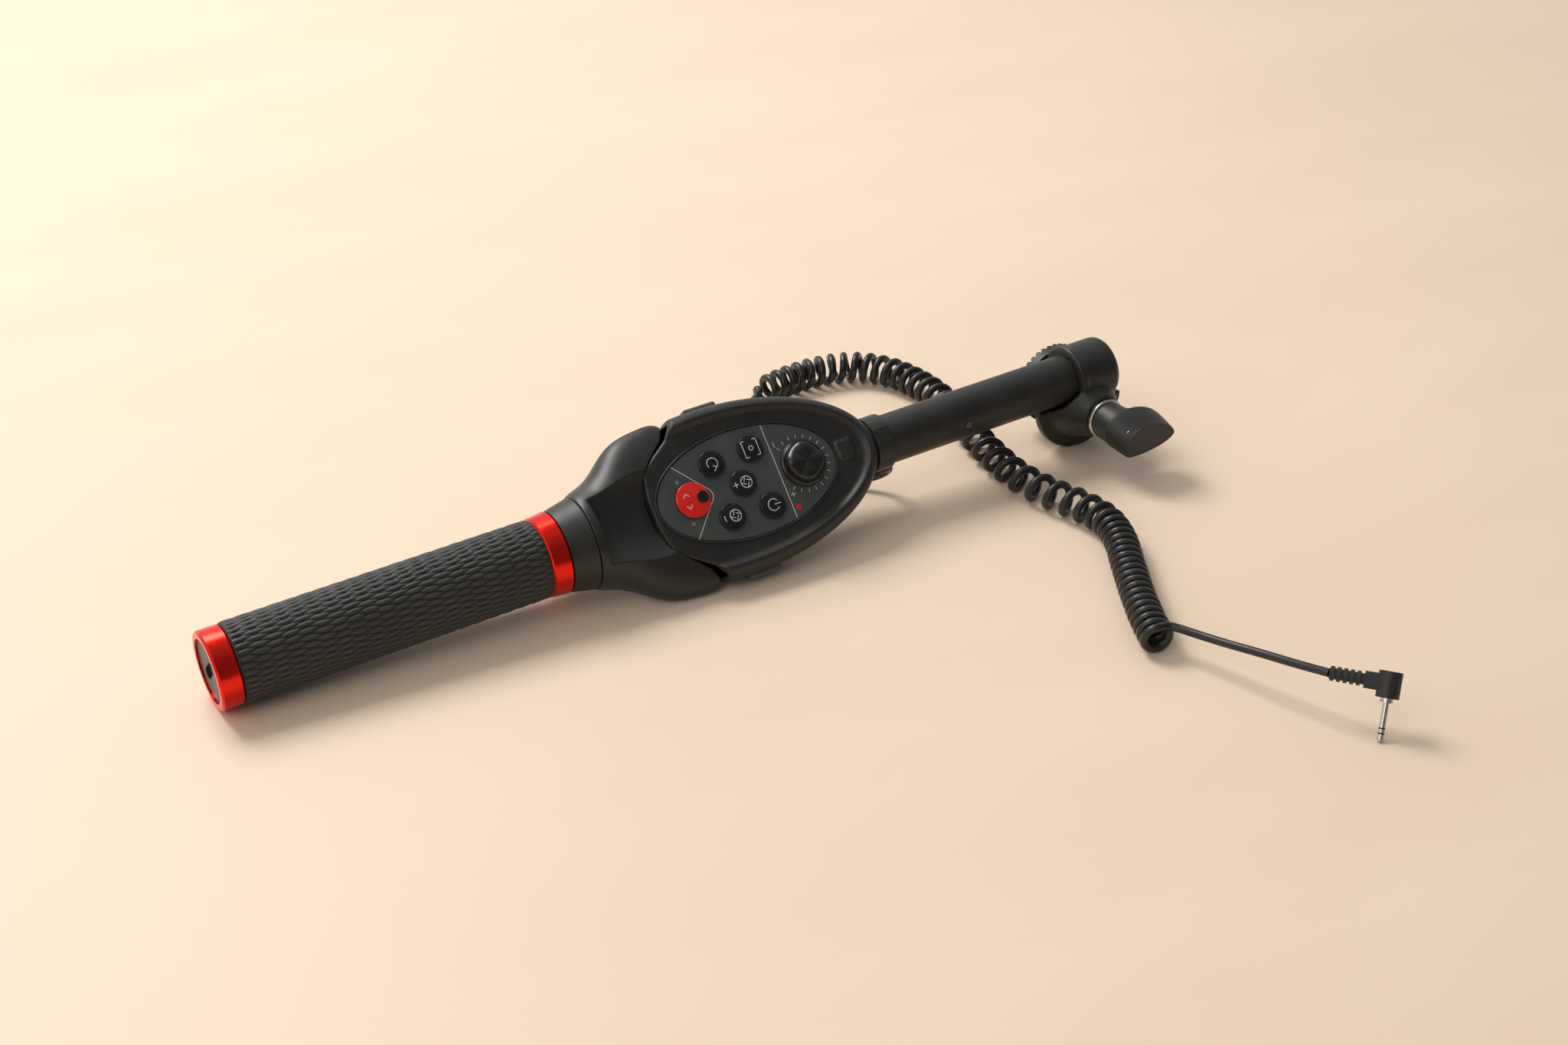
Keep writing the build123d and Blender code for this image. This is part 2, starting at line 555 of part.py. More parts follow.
gland_mouth = to_table * placing["handle"] * Pos(gland_end, gland_y, gland_z)
out = Plane(gland_mouth).x_dir
mouth = gland_mouth.position
placed["cord_lead"] = bent_tube("cord_lead", (mouth, mouth + out * straight_out, *lead_route, coil_route[0]), cord_radius)
placed["cord_coil"] = bent_tube("cord_coil", coil_route, coil_radius)

# ---- plug, standing on its tip ----------------------------------------------------------------------------------------------------------
tilt = radians(jack_tilt)
yaw = radians(boot_yaw)
towards_elbow = Vector(cos(yaw), sin(yaw), 0)
jack = Vector(sin(yaw) * sin(tilt), -cos(yaw) * sin(tilt), -cos(tilt))
elbow_height = elbow_drop * cos(tilt) + shaft_radius * sin(tilt) * 0.5
plug_frame = Plane(origin=(*elbow, elbow_height), x_dir=towards_elbow, z_dir=-jack)
boot_mouth = Vector(*elbow, elbow_height) - towards_elbow * boot_start
placed["cord_tail"] = bent_tube("cord_tail", (*tail_route, boot_mouth), cord_radius)

boot = rod(-boot_start, -boot_end, boot_radius - 0.7)
for i in range(boot_ribs):
    rib_x = -boot_start + 0.4 + i * (boot_start - boot_end - 0.8) / boot_ribs
    boot += rod(rib_x, rib_x + 1.5, boot_radius)
plug_body = block(-boot_end + 0.02, 4.2, -body_width / 2, body_width / 2, -body_width / 2, body_width / 2)
plug_body = fillet(plug_body.edges().filter_by(Axis.X), 1.2)
plug_body += post(0, 0, -barrel_stop, -barrel_start, plug_barrel_radius)
plug_pieces = {
    "plug_boot": boot,
    "plug_body": plug_body,
    "plug_collar": post(0, 0, -collar_stop, -barrel_stop - 0.02, collar_radius),
}
tip_z = -elbow_drop
sleeve_contact = post(0, 0, tip_z + 5.4, -collar_stop - 0.02, shaft_radius)
ring_contact = post(0, 0, tip_z + 3.4, tip_z + 4.8, shaft_radius)
tip_contact = fillet(post(0, 0, tip_z, tip_z + 2.8, shaft_radius).edges().group_by(Axis.Z)[0], 0.6)
plug_pieces["plug_contacts"] = Compound(children=[sleeve_contact, ring_contact, tip_contact])
plug_pieces["plug_insulators"] = Compound(children=[
    post(0, 0, tip_z + low, tip_z + low + 0.6, shaft_radius) for low in (2.8, 4.8)])
for name, shape in plug_pieces.items():
    placed[name] = plug_frame.location * shape

os.makedirs("parts", exist_ok=True)
for name, shape in placed.items():
    export_step(Compound(children=list(shape.solids())), f"parts/{name}.step")
print("pitch", round(pitch, 3), "shift", to_table.position, "mouth", mouth, "low", low, "high", high)
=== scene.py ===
import json
from math import cos, hypot, pi, radians, sin

import bmesh
import bpy
from mathutils import Matrix, Vector


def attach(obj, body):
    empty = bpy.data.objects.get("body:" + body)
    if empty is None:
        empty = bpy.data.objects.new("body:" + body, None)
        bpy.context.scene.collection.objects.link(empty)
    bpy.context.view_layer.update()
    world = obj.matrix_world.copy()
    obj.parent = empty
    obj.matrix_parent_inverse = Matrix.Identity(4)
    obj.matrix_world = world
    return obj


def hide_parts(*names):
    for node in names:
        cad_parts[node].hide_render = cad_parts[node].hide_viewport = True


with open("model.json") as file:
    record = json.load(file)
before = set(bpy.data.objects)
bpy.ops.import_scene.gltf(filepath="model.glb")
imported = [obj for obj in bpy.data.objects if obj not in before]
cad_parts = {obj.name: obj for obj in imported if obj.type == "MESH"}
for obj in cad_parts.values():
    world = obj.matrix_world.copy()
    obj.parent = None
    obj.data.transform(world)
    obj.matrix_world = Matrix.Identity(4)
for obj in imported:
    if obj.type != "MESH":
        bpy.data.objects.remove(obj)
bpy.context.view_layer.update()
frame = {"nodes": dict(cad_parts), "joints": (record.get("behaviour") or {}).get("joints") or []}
scene = bpy.context.scene
nodes = frame["nodes"]

# ---- camera, table and lights ----------------------------------------------------------------
# The camera looks down at the table from the near left, about a metre away. The table is a plain
# pale top. A wide soft lamp hangs behind it, and a weaker one fills from the left.
lens, sensor = 52.7, 36.0
camera_place = Vector((-0.3942, -0.7291, 0.526))
look_right = Vector((0.8618, -0.5072, 0.0))
look_up = Vector((0.2642, 0.4490, 0.8536))
look_back = look_right.cross(look_up)
camera = bpy.data.objects.new("camera", bpy.data.cameras.new("camera"))
camera.data.lens = lens
camera.data.sensor_width = sensor
camera.matrix_world = Matrix.LocRotScale(
    camera_place, Matrix((look_right, look_up, look_back)).transposed().to_quaternion(), None)
scene.collection.objects.link(camera)
scene.camera = camera
scene.view_settings.view_transform = "Standard"


def soft_lamp(name, place, size, watts, colour):
    """A square area lamp at place that faces the middle of the table."""
    lamp = bpy.data.objects.new(name, bpy.data.lights.new(name, "AREA"))
    lamp.data.size = size
    lamp.data.energy = watts
    lamp.data.color = colour
    lamp.location = place
    lamp.rotation_euler = (-Vector(place)).to_track_quat("-Z", "Y").to_euler()
    scene.collection.objects.link(lamp)


soft_lamp("window", (-0.30, 1.15, 1.45), 0.8, 25, (1.0, 0.98, 0.95))
soft_lamp("fill", (-1.3, -0.6, 1.3), 1.2, 6, (1.0, 0.99, 0.98))
scene.world = bpy.data.worlds.new("studio")
scene.world.use_nodes = True
# The room is bright behind the table and dim towards the near side, and gloss shows the change.
bright_side = (-0.35, 0.80, 0.0)
dim_at, bright_at = -0.6, 0.7
dim_strength, bright_strength = 0.16, 0.80
room = scene.world.node_tree
room_place = room.nodes.new("ShaderNodeTexCoord")
room_slope = room.nodes.new("ShaderNodeVectorMath")
room_slope.operation = "DOT_PRODUCT"
room_slope.inputs[1].default_value = bright_side
room_light = room.nodes.new("ShaderNodeMapRange")
room_light.inputs["From Min"].default_value = dim_at
room_light.inputs["From Max"].default_value = bright_at
room_light.inputs["To Min"].default_value = dim_strength
room_light.inputs["To Max"].default_value = bright_strength
room.links.new(room_place.outputs["Generated"], room_slope.inputs[0])
room.links.new(room_slope.outputs["Value"], room_light.inputs["Value"])
room.links.new(room_light.outputs["Result"], room.nodes["Background"].inputs["Strength"])
room.nodes["Background"].inputs["Color"].default_value = (1.0, 0.985, 0.97, 1)


def mottled(name, dark, light, patch, rough, bump_size=0.0, grain=0.0005, metal=0.0, coat=0.0,
            coat_rough=0.1, sheen=0.0, stretch=(1, 1, 1)):
    """A material whose colour and roughness drift over patches of a size in metres.

    dark and light are the two colours, and rough is the lowest and highest roughness. The fine
    relief has grains of the size grain and the height bump_size, both in metres. A stretch turns
    round grain into drawn grain.
    """
    material = bpy.data.materials.new(name)
    material.use_nodes = True
    tree = material.node_tree
    shader = tree.nodes["Principled BSDF"]
    place = tree.nodes.new("ShaderNodeTexCoord")
    turn = tree.nodes.new("ShaderNodeMapping")
    turn.inputs["Scale"].default_value = stretch
    tree.links.new(place.outputs["Object"], turn.inputs["Vector"])
    drift = tree.nodes.new("ShaderNodeTexNoise")
    drift.inputs["Scale"].default_value = 1 / patch
    drift.inputs["Detail"].default_value = 5
    tree.links.new(turn.outputs["Vector"], drift.inputs["Vector"])
    colours = tree.nodes.new("ShaderNodeValToRGB")
    colours.color_ramp.elements[0].position = 0.35
    colours.color_ramp.elements[0].color = (*dark, 1)
    colours.color_ramp.elements[1].position = 0.68
    colours.color_ramp.elements[1].color = (*light, 1)
    tree.links.new(drift.outputs["Fac"], colours.inputs["Fac"])
    tree.links.new(colours.outputs["Color"], shader.inputs["Base Color"])
    spread = tree.nodes.new("ShaderNodeMapRange")
    spread.inputs["From Min"].default_value = 0.3
    spread.inputs["From Max"].default_value = 0.7
    spread.inputs["To Min"].default_value = rough[0]
    spread.inputs["To Max"].default_value = rough[1]
    tree.links.new(drift.outputs["Fac"], spread.inputs["Value"])
    tree.links.new(spread.outputs["Result"], shader.inputs["Roughness"])
    if bump_size:
        pits = tree.nodes.new("ShaderNodeTexNoise")
        pits.inputs["Scale"].default_value = 1 / grain
        pits.inputs["Detail"].default_value = 3
        tree.links.new(turn.outputs["Vector"], pits.inputs["Vector"])
        relief = tree.nodes.new("ShaderNodeBump")
        relief.inputs["Distance"].default_value = bump_size
        tree.links.new(pits.outputs["Fac"], relief.inputs["Height"])
        tree.links.new(relief.outputs["Normal"], shader.inputs["Normal"])
    shader.inputs["Metallic"].default_value = metal
    shader.inputs["Coat Weight"].default_value = coat
    shader.inputs["Coat Roughness"].default_value = coat_rough
    shader.inputs["Sheen Weight"].default_value = sheen
    return material


def new_piece(name, points, faces, place, material, smooth=True):
    """A mesh of points in a piece's own frame, moved by the matrix place into the shared frame."""
    mesh = bpy.data.meshes.new(name)
    mesh.from_pydata([tuple(point) for point in points], [], faces)
    mesh.transform(place)
    mesh.materials.append(material)
    mesh.polygons.foreach_set("use_smooth", [smooth] * len(mesh.polygons))
    piece = bpy.data.objects.new(name, mesh)
    scene.collection.objects.link(piece)
    return piece


table_colour = mottled("pale_table", (0.86, 0.68, 0.51), (0.89, 0.71, 0.54), 0.25, (0.5, 0.6),
                       stretch=(1, 3, 1))
table_half = 3.0
table_corners = [(-table_half, -table_half, 0), (table_half, -table_half, 0),
                 (table_half, table_half, 0), (-table_half, table_half, 0)]
table = new_piece("table", table_corners, [(0, 1, 2, 3)], Matrix(), table_colour)

# ---- curly cord ------------------------------------------------------------------------------
# A round rubber-jacketed cord, wound on a mandrel and baked so that it springs back. It leaves
# the gland under the bar, goes round behind the head, and is wound for most of its length. The
# plug at its end has a ribbed boot, a moulded body and a plated jack.
wire = 0.0034
corner_swell = 1.04  # the wire's sides are flat, so its corners stand out a little
winding_radius = 0.00582
first_radius = 0.15  # the part of the winding's radius at which its first turn begins
points_per_turn = 14
lead_points = [(0.08701, 0.0079, 0.01601), (0.0955, 0.0079, 0.0164), (0.0957, 0.0145, 0.0088),
               (0.0882, 0.021, 0.0044), (0.0757, 0.031, 0.0026), (0.0627, 0.046, 0.0019),
               (0.0567, 0.065, 0.0019), (0.0592, 0.085, 0.0022), (0.0687, 0.101, 0.0036)]
coil_points = [(0.0847, 0.110), (0.0997, 0.115), (0.1167, 0.117), (0.1322, 0.1155), (0.1442, 0.1095),
               (0.1522, 0.099), (0.1565, 0.086), (0.1585, 0.0715), (0.1577, 0.0555), (0.1542, 0.0365),
               (0.150, 0.0175), (0.1477, -0.0005), (0.147, -0.0155), (0.1492, -0.0285), (0.1527, -0.0405),
               (0.157, -0.0525), (0.1589, -0.0665), (0.1542, -0.082), (0.1437, -0.1005), (0.1327, -0.1215),
               (0.1242, -0.1395), (0.1202, -0.1505)]
coil_height = 0.0075
tail_points = [(0.1257, -0.149, 0.012), (0.1302, -0.160, 0.0126), (0.1347, -0.1735, 0.0142),
               (0.1402, -0.189, 0.0166), (0.1455, -0.2035, 0.0182)]
# How far apart the turns lie, at distances along the winding: relaxed, pulled out, then tight.
pitches = [(0.0, 0.0078), (0.015, 0.0061), (0.095, 0.0063), (0.120, 0.0088), (0.165, 0.0104),
           (0.205, 0.0096), (0.232, 0.0078), (0.252, 0.0050), (0.30, 0.0046), (0.40, 0.0044)]


def spline_curve(name, points):
    """A curve of one smooth open spline with these control points."""
    curve = bpy.data.curves.new(name, "CURVE")
    curve.dimensions = "3D"
    spline = curve.splines.new("NURBS")
    spline.points.add(len(points) - 1)
    for held, point in zip(spline.points, points):
        held.co = (*point, 1)
    spline.order_u = 3
    spline.use_endpoint_u = True
    line = bpy.data.objects.new(name, curve)
    scene.collection.objects.link(line)
    return line


def evaluated_mesh(thing):
    """A new mesh of a piece or a curve, with its modifiers worked out."""
    bpy.context.view_layer.update()
    graph = bpy.context.evaluated_depsgraph_get()
    return bpy.data.meshes.new_from_object(thing.evaluated_get(graph))


def between(stations, at):
    """The value at a distance, on straight lines between the stations' pairs."""
    for (a, low), (b, high) in zip(stations, stations[1:]):
        if at <= b:
            return low + (high - low) * (at - a) / (b - a)
    return stations[-1][1]


guide = spline_curve("winding_guide", [(x, y, coil_height) for x, y in coil_points])
guide.data.splines[0].resolution_u = 24
middle = [vertex.co.copy() for vertex in evaluated_mesh(guide).vertices]
bpy.data.objects.remove(guide)
along_guide = [0.0]
for a, b in zip(middle, middle[1:]):
    along_guide.append(along_guide[-1] + (b - a).length)
step = 0.0001
turns = [0.0]
while len(turns) * step < along_guide[-1]:
    turns.append(turns[-1] + step / between(pitches, len(turns) * step))
last_angle = radians(100)  # the winding ends on its top, where the tail leaves it
up = Vector((0, 0, 1))
winding = []
segment = 0
wanted = 0.0
for index, turn in enumerate(turns):
    if turn < wanted:
        continue
    wanted += 1 / points_per_turn
    while segment < len(middle) - 2 and along_guide[segment + 1] < index * step:
        segment += 1
    run = middle[segment + 1] - middle[segment]
    centre = middle[segment] + run * (index * step - along_guide[segment]) / run.length
    side = run.normalized().cross(up)
    angle = last_angle + 2 * pi * (turn - turns[-1])
    radius = winding_radius * min(1.0, first_radius + turn)
    winding.append(centre + radius * (cos(angle) * side + sin(angle) * up))

boot_mouth = (0.15076, -0.21455, 0.01926)
cord = spline_curve("curly_cord", [*lead_points, *winding, *tail_points, boot_mouth])
cord.data.bevel_depth = wire / 2 * corner_swell
cord.data.bevel_resolution = 3
cord.data.splines[0].resolution_u = 3
cord.data.use_fill_caps = True
cord_rubber = mottled("cord_rubber", (0.010, 0.010, 0.010), (0.019, 0.019, 0.018), 0.02, (0.28, 0.4),
                      bump_size=0.00002, grain=0.0006)
cord.data.materials.append(cord_rubber)
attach(cord, "handle")
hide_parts("cord_lead", "cord_coil", "cord_tail")


def finish(material, *names):
    """Give CAD nodes their material."""
    for name in names:
        for held in nodes[name].material_slots:
            held.material = material


plug_plastic = mottled("plug_plastic", (0.014, 0.014, 0.014), (0.024, 0.024, 0.023), 0.004, (0.42, 0.58),
                       bump_size=0.00002, grain=0.0003)
plug_steel = mottled("plated_steel", (0.55, 0.54, 0.52), (0.70, 0.69, 0.67), 0.002, (0.14, 0.26),
                     metal=1.0)
finish(plug_plastic, "plug_boot", "plug_body", "plug_insulators", "cord_gland")
finish(plug_steel, "plug_collar", "plug_contacts")

# ---- grip ------------------------------------------------------------------------------------
# A moulded rubber sleeve over an aluminium tube, held between two turned rings that are anodised
# red. Low lozenges run along the sleeve in staggered rows.
joints = {joint["name"]: joint for joint in frame["joints"]}
bar_line = Vector(joints["rocker_turn"]["axis"])
panel_normal = Vector(joints["dial_turn"]["axis"])
across = panel_normal.cross(bar_line)
rocker_place = 0.175  # how far the rocker's joint is from the grip's end
grip_end = Vector(joints["rocker_turn"]["pos_m"]) - rocker_place * bar_line


def millimetre_frame(origin, x_line, y_line, z_line):
    """The matrix from a frame in millimetres, with these lines as its axes, to the shared frame."""
    turned = Matrix((x_line, y_line, z_line)).transposed().to_quaternion()
    return Matrix.LocRotScale(origin, turned, Vector((0.001, 0.001, 0.001)))


def tube_faces(rings, sides):
    """Quads between rings of points that run round a tube."""
    return [(i * sides + j, i * sides + (j + 1) % sides,
             (i + 1) * sides + (j + 1) % sides, (i + 1) * sides + j)
            for i in range(rings - 1) for j in range(sides)]


# The handle's frame has x along the bar, y across the button panel and z out of the panel.
handle = millimetre_frame(grip_end, bar_line, across, panel_normal)
sleeve_start, sleeve_end = 9.65, 140.35
sleeve_radius, sleeve_inside = 16.9, 14.2
lozenge_columns, lozenge_length, lozenge_depth = 38, 12.8, 1.1
top_flatness = 0.3  # the smaller, the flatter the lozenges and the narrower the grooves
sway, sway_length, sway_turns = 0.5, 1.9 * lozenge_length, 3  # how the rows wander sideways
end_length, end_drop = 1.2, 0.5  # the sleeve thins and is plain at its ends
sleeve_rings, sleeve_sides = 240, 8 * lozenge_columns
points, painted_light_level = [], []
for i in range(sleeve_rings + 1):
    x = sleeve_start + (sleeve_end - sleeve_start) * i / sleeve_rings
    edge = min(1.0, min(x - sleeve_start, sleeve_end - x) / end_length)
    for j in range(sleeve_sides):
        turn = 2 * pi * j / sleeve_sides
        wave = sway * sin(2 * pi * x / sway_length + sway_turns * turn)
        column = 0.5 * (lozenge_columns * turn + wave)
        row = pi * x / lozenge_length
        height = abs(sin(column + row) * sin(column - row)) ** top_flatness
        radius = sleeve_radius - lozenge_depth * (1 - height) * edge - end_drop * (1 - edge)
        # the share of painted light at each point: none in the grooves and plain ends, which take painted
        # shade, most on the tops
        painted_light_level.append(height * edge)
        points.append((x, radius * cos(turn), radius * sin(turn)))
for x in (sleeve_end, sleeve_start):
    points += [(x, sleeve_inside * cos(2 * pi * j / sleeve_sides),
                sleeve_inside * sin(2 * pi * j / sleeve_sides)) for j in range(sleeve_sides)]
rings = len(points) // sleeve_sides
faces = tube_faces(rings, sleeve_sides)
faces += [((rings - 1) * sleeve_sides + j, (rings - 1) * sleeve_sides + (j + 1) % sleeve_sides,
           (j + 1) % sleeve_sides, j) for j in range(sleeve_sides)]
grip_rubber = mottled("grip_rubber", (0.021, 0.022, 0.021), (0.036, 0.037, 0.035), 0.012, (0.5, 0.68),
                      bump_size=0.00006, grain=0.0007, sheen=0.15)
sleeve = new_piece("grip_sleeve_skin", points, faces, handle, grip_rubber)
# Painted shade darkens the grooves and the sleeve's plain ends, and painted light brightens the lozenges' tops.
groove_at, top_at = 0.45, 0.95
groove_shade, top_shade = 0.25, 1.45
painted_light_layer = sleeve.data.attributes.new("painted_light_level", "FLOAT", "POINT")
painted_light_layer.data.foreach_set("value", painted_light_level + [0.0] * (len(points) - len(painted_light_level)))
tree = grip_rubber.node_tree
read_painted_light = tree.nodes.new("ShaderNodeAttribute")
read_painted_light.attribute_name = "painted_light_level"
shade = tree.nodes.new("ShaderNodeMapRange")
shade.inputs["From Min"].default_value = groove_at
shade.inputs["From Max"].default_value = top_at
shade.inputs["To Min"].default_value = groove_shade
shade.inputs["To Max"].default_value = top_shade
tree.links.new(read_painted_light.outputs["Fac"], shade.inputs["Value"])
shaded = tree.nodes.new("ShaderNodeVectorMath")
shaded.operation = "SCALE"
tree.links.new(tree.nodes["Color Ramp"].outputs["Color"], shaded.inputs["Vector"])
tree.links.new(shade.outputs["Result"], shaded.inputs["Scale"])
tree.links.new(shaded.outputs["Vector"], tree.nodes["Principled BSDF"].inputs["Base Color"])
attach(sleeve, "handle")
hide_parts("grip_sleeve")
red_anodised = mottled("red_anodised", (0.82, 0.014, 0.006), (0.88, 0.020, 0.008), 0.02, (0.20, 0.24),
                       metal=0.9, coat=0.15)
finish(red_anodised, "rear_ring", "front_ring")
tube_aluminium = mottled("tube_aluminium", (0.50, 0.50, 0.51), (0.62, 0.62, 0.63), 0.003, (0.28, 0.4),
                         metal=1.0, stretch=(1, 12, 12))
finish(tube_aluminium, "grip_core", "dial_shaft", "swivel_pivot")

# ---- casings ---------------------------------------------------------------------------------
# The hub, the two head shells and the clamp are moulded in glass-filled black plastic with a fine
# spark-eroded grain. The rocker and the cap on the grip's end have a soft coat.
case_plastic = mottled("case_plastic", (0.014, 0.014, 0.013), (0.021, 0.021, 0.019), 0.018, (0.38, 0.5),
                       bump_size=0.000035, grain=0.00045)
soft_coat = mottled("soft_coat", (0.012, 0.012, 0.011), (0.018, 0.018, 0.016), 0.02, (0.34, 0.46),
                    bump_size=0.000025, grain=0.0006, sheen=0.08)
finish(case_plastic, "neck_hub", "neck_sleeve")
finish(soft_coat, "end_cap")


def ramp(value, start, end):
    """From 0 at the start to 1 at the end, and level outside them."""
    return min(1.0, max(0.0, (value - start) / (end - start)))


def moulding(name, made_of, voxel, passes, body, material, press=None):
    """The CAD nodes' shape as one moulding, with its edges rounded as they are in a mould.

    The shape is rebuilt as an even skin of a voxel's size in metres and smoothed by some passes.
    A press is a function that moves each point of the skin before the smoothing.
    """
    merge_distance = 1e-6
    skin = bmesh.new()
    for node in made_of:
        skin.from_mesh(nodes[node].data)
    bmesh.ops.remove_doubles(skin, verts=skin.verts, dist=merge_distance)
    piece = bpy.data.objects.new(name, bpy.data.meshes.new(name))
    skin.to_mesh(piece.data)
    skin.free()
    scene.collection.objects.link(piece)
    rebuilt = piece.modifiers.new("even_skin", "REMESH")
    rebuilt.mode = "VOXEL"
    rebuilt.voxel_size = voxel
    rebuilt.use_smooth_shade = True
    piece.data = evaluated_mesh(piece)
    piece.modifiers.clear()
    if press:
        for vertex in piece.data.vertices:
            vertex.co = press(vertex.co)
    smoothed = piece.modifiers.new("rounded_edges", "SMOOTH")
    smoothed.factor = 0.5
    smoothed.iterations = passes
    piece.data = evaluated_mesh(piece)
    piece.modifiers.clear()
    piece.data.materials.clear()
    piece.data.materials.append(material)
    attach(piece, body)
    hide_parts(*made_of)


# The dish at its back end and at its front end: its x, its floor's height and its curve across.
dish_back, floor_back, curve_back = 164.6, 12.3, 0.0098
dish_front, floor_front, curve_front = 189.0, 9.6, 0.0135
dish_easing = 1.5


def thumb_dish(point):
    """The rocker's top is pressed down to a dish that deepens towards the head."""
    x, y, z = handle.inverted() @ point
    along = ramp(x, dish_back, dish_front)
    floor = floor_back + (floor_front - floor_back) * along ** dish_easing
    limit = floor + (curve_back + (curve_front - curve_back) * along) * y * y
    return handle @ Vector((x, y, limit)) if x > dish_back and z > limit else point


moulding("rocker_moulding", ["zoom_rocker"], 0.0005, 4, "rocker", soft_coat, thumb_dish)
for name, made_of, passes, body in (("upper_shell_moulding", ["head_upper_shell"], 4, "handle"),
                                    ("lower_shell_moulding", ["head_lower_shell"], 4, "handle"),
                                    ("clamp_moulding", ["clamp_body", "clamp_end_cap"], 10, "clamp")):
    moulding(name, made_of, 0.0006, passes, body, case_plastic)

# ---- button panel ----------------------------------------------------------------------------
# A thin printed plate is let into the upper shell, inside a low round lip. White lines part its
# fields, and seventeen ticks, a minus and a plus stand round the speed dial.
plate_top = 13.5
ink_height = 0.03
plate_grey = mottled("plate_grey", (0.056, 0.064, 0.063), (0.070, 0.079, 0.078), 0.015, (0.36, 0.46),
                     bump_size=0.00001, grain=0.0003)
white_ink = mottled("white_ink", (0.62, 0.63, 0.64), (0.72, 0.73, 0.74), 0.002, (0.5, 0.6))
finish(plate_grey, "label_plate")


def ribbon(strokes, width, height):
    """Flat strips of one width along open lines of (x, y) points, at height(x, y)."""
    points, faces = [], []
    for stroke in strokes:
        first = len(points)
        for i, (x, y) in enumerate(stroke):
            (xa, ya), (xb, yb) = stroke[max(i - 1, 0)], stroke[min(i + 1, len(stroke) - 1)]
            length = hypot(xb - xa, yb - ya)
            nx, ny = -(yb - ya) / length * width / 2, (xb - xa) / length * width / 2
            points += [(x + nx, y + ny, height(x + nx, y + ny)), (x - nx, y - ny, height(x - nx, y - ny))]
        faces += [(first + 2 * i, first + 2 * i + 1, first + 2 * i + 3, first + 2 * i + 2)
                  for i in range(len(stroke) - 1)]
    return points, faces


def arc(x, y, radius, start, end, count=24):
    """Points on an arc, from one angle to another in degrees."""
    return [(x + radius * cos(radians(start + (end - start) * i / count)),
             y + radius * sin(radians(start + (end - start) * i / count))) for i in range(count + 1)]


def on_plate(x, y):
    """The height of printed ink on the flat plate."""
    return plate_top + ink_height


plate_x, plate_half_length, plate_half_width = 235.0, 42.2, 23.0
lip_gap, lip_radius = 0.75, 0.5
lip_sides, lip_round = 180, 10
points = []
for i in range(lip_sides):
    turn = 2 * pi * i / lip_sides
    for j in range(lip_round):
        swing = 2 * pi * j / lip_round
        out = lip_gap + lip_radius * cos(swing)
        points.append((plate_x + (plate_half_length + out) * cos(turn), (plate_half_width + out) * sin(turn),
                       plate_top + lip_radius * sin(swing)))
faces = [(i * lip_round + j, i * lip_round + (j + 1) % lip_round,
          (i + 1) % lip_sides * lip_round + (j + 1) % lip_round, (i + 1) % lip_sides * lip_round + j)
         for i in range(lip_sides) for j in range(lip_round)]
lip = new_piece("plate_lip", points, faces, handle, case_plastic)
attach(lip, "handle")

line_width = 0.32
divider_x, divider_half = 250.0, 21.3
field_x, field_half = 204.6, 16.4
corner_x, corner_radius, corner_angle = 214.2, 3.8, 52
field_line = [(field_x, field_half), *arc(corner_x, 0, corner_radius, corner_angle, -corner_angle),
              (field_x, -field_half)]
divider_line = [(divider_x, -divider_half), (divider_x, divider_half)]
points, faces = ribbon([field_line, divider_line], line_width, on_plate)
lines = new_piece("printed_lines", points, faces, handle, white_ink, smooth=False)
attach(lines, "handle")


def ring_tree(name, material):
    """Geometry Nodes that stand copies of a small mesh round part of a circle."""
    tree = bpy.data.node_groups.new(name, "GeometryNodeTree")
    tree.interface.new_socket("Item", in_out="INPUT", socket_type="NodeSocketGeometry")
    tree.interface.new_socket("Count", in_out="INPUT", socket_type="NodeSocketInt")
    tree.interface.new_socket("Radius", in_out="INPUT", socket_type="NodeSocketFloat")
    tree.interface.new_socket("First angle", in_out="INPUT", socket_type="NodeSocketFloat")
    tree.interface.new_socket("Step", in_out="INPUT", socket_type="NodeSocketFloat")
    tree.interface.new_socket("Ring", in_out="OUTPUT", socket_type="NodeSocketGeometry")
    given = tree.nodes.new("NodeGroupInput")
    made = tree.nodes.new("NodeGroupOutput")
    spots = tree.nodes.new("GeometryNodePoints")
    index = tree.nodes.new("GeometryNodeInputIndex")
    angle = tree.nodes.new("ShaderNodeMath")
    angle.operation = "MULTIPLY_ADD"
    turn = tree.nodes.new("ShaderNodeCombineXYZ")
    out = tree.nodes.new("ShaderNodeCombineXYZ")
    placed = tree.nodes.new("ShaderNodeVectorRotate")
    placed.rotation_type = "EULER_XYZ"
    copies = tree.nodes.new("GeometryNodeInstanceOnPoints")
    whole = tree.nodes.new("GeometryNodeRealizeInstances")
    paint = tree.nodes.new("GeometryNodeSetMaterial")
    paint.inputs["Material"].default_value = material
    link = tree.links.new
    link(given.outputs["Count"], spots.inputs["Count"])
    link(index.outputs["Index"], angle.inputs[0])
    link(given.outputs["Step"], angle.inputs[1])
    link(given.outputs["First angle"], angle.inputs[2])
    link(angle.outputs["Value"], turn.inputs["Z"])
    link(given.outputs["Radius"], out.inputs["X"])
    link(out.outputs["Vector"], placed.inputs["Vector"])
    link(turn.outputs["Vector"], placed.inputs["Rotation"])
    link(placed.outputs["Vector"], spots.inputs["Position"])
    link(spots.outputs["Points"], copies.inputs["Points"])
    link(given.outputs["Item"], copies.inputs["Instance"])
    link(turn.outputs["Vector"], copies.inputs["Rotation"])
    link(copies.outputs["Instances"], whole.inputs["Geometry"])
    link(whole.outputs["Geometry"], paint.inputs["Geometry"])
    link(paint.outputs["Geometry"], made.inputs["Ring"])
    return tree


